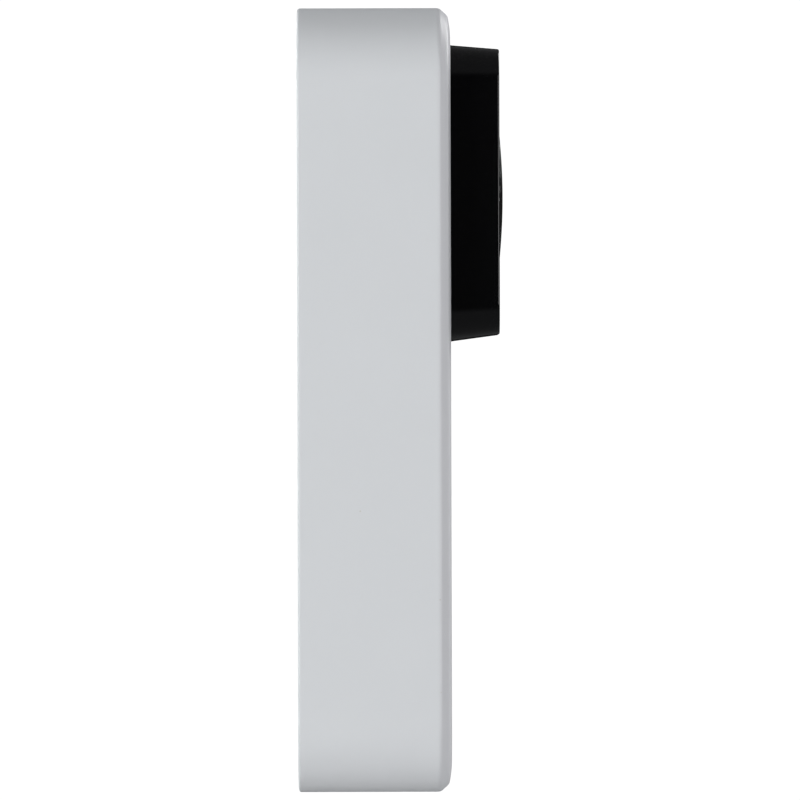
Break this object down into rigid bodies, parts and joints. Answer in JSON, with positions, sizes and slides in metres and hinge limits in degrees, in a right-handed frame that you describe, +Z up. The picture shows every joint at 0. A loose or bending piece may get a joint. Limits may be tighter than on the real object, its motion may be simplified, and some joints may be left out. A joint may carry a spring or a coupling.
{
  "type": "video doorbell",
  "caption": "Wall-mounted video doorbell: slim rounded housing with a raised dark camera island, a round call button with a light ring, and a screw-on wall bracket.",
  "frame": {"origin": "on the wall, in the plane of the bracket's back face, at the middle of the body's height and width", "axes": "+Z up, +X to the right of someone facing the front, front faces -Y, +Y into the wall"},
  "size_m": [0.043, 0.0342, 0.13],
  "materials": {
    "white_plastic": "satin moulded, cool white",
    "white_gloss": "semi-gloss white",
    "grey_plastic": "fine moulded texture, dark grey",
    "black_gloss": "polished black",
    "black_matte": "matt black",
    "smoked_acrylic": "polished, dark smoked acrylic",
    "dome_glass": "clear polished cover over the lens",
    "lens_glass": "coated lens glass",
    "filter_glass": "infrared cut glass",
    "silicone": "matt black silicone",
    "clear_silicone": "translucent silicone",
    "foam": "closed-cell foam",
    "light_diffuser": "translucent diffuser",
    "steel": "zinc plated",
    "tinned_steel": "tinned sheet",
    "brass": "turned brass",
    "can_aluminium": "drawn can",
    "board": "solder-masked circuit board",
    "connector_plastic": "moulded connector",
    "flat_cable": "polyimide flat cable",
    "lead_insulation": "insulated wire",
    "sensor": "ceramic package",
    "led_body": "lamp package",
    "magnet": "sintered magnet",
    "copper_coil": "copper winding on a frame",
    "cone_film": "formed film with its winding"
  },
  "bodies": {
    "bracket": {"wall_bracket": "grey_plastic", "bracket_insert": "brass", "security_screw": "steel"},
    "unit": {"front_housing": "white_plastic", "back_cover": "grey_plastic", "back_gasket": "silicone", "cover_screws": "steel", "camera_shell": "black_gloss", "camera_shell_seal": "silicone", "camera_shell_screws": "steel", "front_window": "smoked_acrylic", "lens_dome": "dome_glass", "dome_seal": "silicone", "light_baffle": "silicone", "lens_barrel": "black_matte", "lens_elements": "lens_glass", "camera_board": "board", "camera_board_screws": "steel", "image_sensor": "sensor", "lens_holder": "black_matte", "ir_filter_coil": "copper_coil", "ir_led_board": "board", "ir_leds": "led_body", "light_sensor": "sensor", "microphone": "tinned_steel", "microphone_boot": "silicone", "main_board": "board", "main_board_screws": "steel", "processor_shield": "tinned_steel", "radio_shield": "tinned_steel", "bulk_capacitors": "can_aluminium", "inductors": "magnet", "antennas": "tinned_steel", "connectors": "connector_plastic", "flat_cables": "flat_cable", "terminal_posts": "brass", "terminal_seals": "silicone", "terminal_screws": "steel", "reset_switch": "black_matte", "reset_dome": "tinned_steel", "button_light_ring": "light_diffuser", "button_membrane": "clear_silicone", "button_switch": "black_matte", "button_frame": "black_matte", "button_board": "board", "button_board_screws": "steel", "ring_leds": "led_body", "speaker_mesh": "steel", "speaker_gasket": "foam", "speaker_frame": "black_matte", "speaker_magnet": "magnet", "speaker_leads": "lead_insulation"},
    "call_button": {"button_cap": "white_gloss"},
    "switch_stem": {"switch_plunger": "black_matte"},
    "reset_key": {"reset_button": "grey_plastic"},
    "night_filter": {"ir_filter_blade": "black_matte", "ir_filter_panes": "filter_glass"},
    "filter_motor": {"ir_filter_rotor": "magnet"},
    "speaker_diaphragm": {"speaker_cone": "cone_film"}
  },
  "joints": [
    {"name": "unit_swing", "type": "hinge", "parent": "bracket", "child": "unit", "pos_m": [0, 0, 0.065], "axis": [-1, 0, 0], "range_deg": [0, 25]},
    {"name": "button_press", "type": "slide", "parent": "unit", "child": "call_button", "axis": [0, 1, 0], "range_m": [0, 0.0005], "stiffness_N_per_m": 1500, "springref_m": -0.0003, "deforming": ["button_membrane"]},
    {"name": "switch_press", "type": "slide", "parent": "unit", "child": "switch_stem", "axis": [0, 1, 0], "range_m": [0, 0.0005]},
    {"name": "reset_press", "type": "slide", "parent": "unit", "child": "reset_key", "axis": [0, -1, 0], "range_m": [0, 0.0003], "stiffness_N_per_m": 1200, "springref_m": -0.0002, "deforming": ["reset_dome"]},
    {"name": "filter_slide", "type": "slide", "parent": "unit", "child": "night_filter", "axis": [-1, 0, 0], "range_m": [0, 0.0055]},
    {"name": "filter_turn", "type": "hinge", "parent": "unit", "child": "filter_motor", "pos_m": [0, -0.016, 0.0488], "axis": [0, 1, 0], "range_deg": [0, 46.27]},
    {"name": "diaphragm_travel", "type": "slide", "parent": "unit", "child": "speaker_diaphragm", "axis": [0, 0, 1], "range_m": [-0.0003, 0.0003], "stiffness_N_per_m": 800}
  ],
  "couplings": [
    {"joint": "switch_press", "follows": "button_press", "ratio": 1},
    {"joint": "filter_turn", "follows": "filter_slide", "rad_per_m": 146.81}
  ]
}
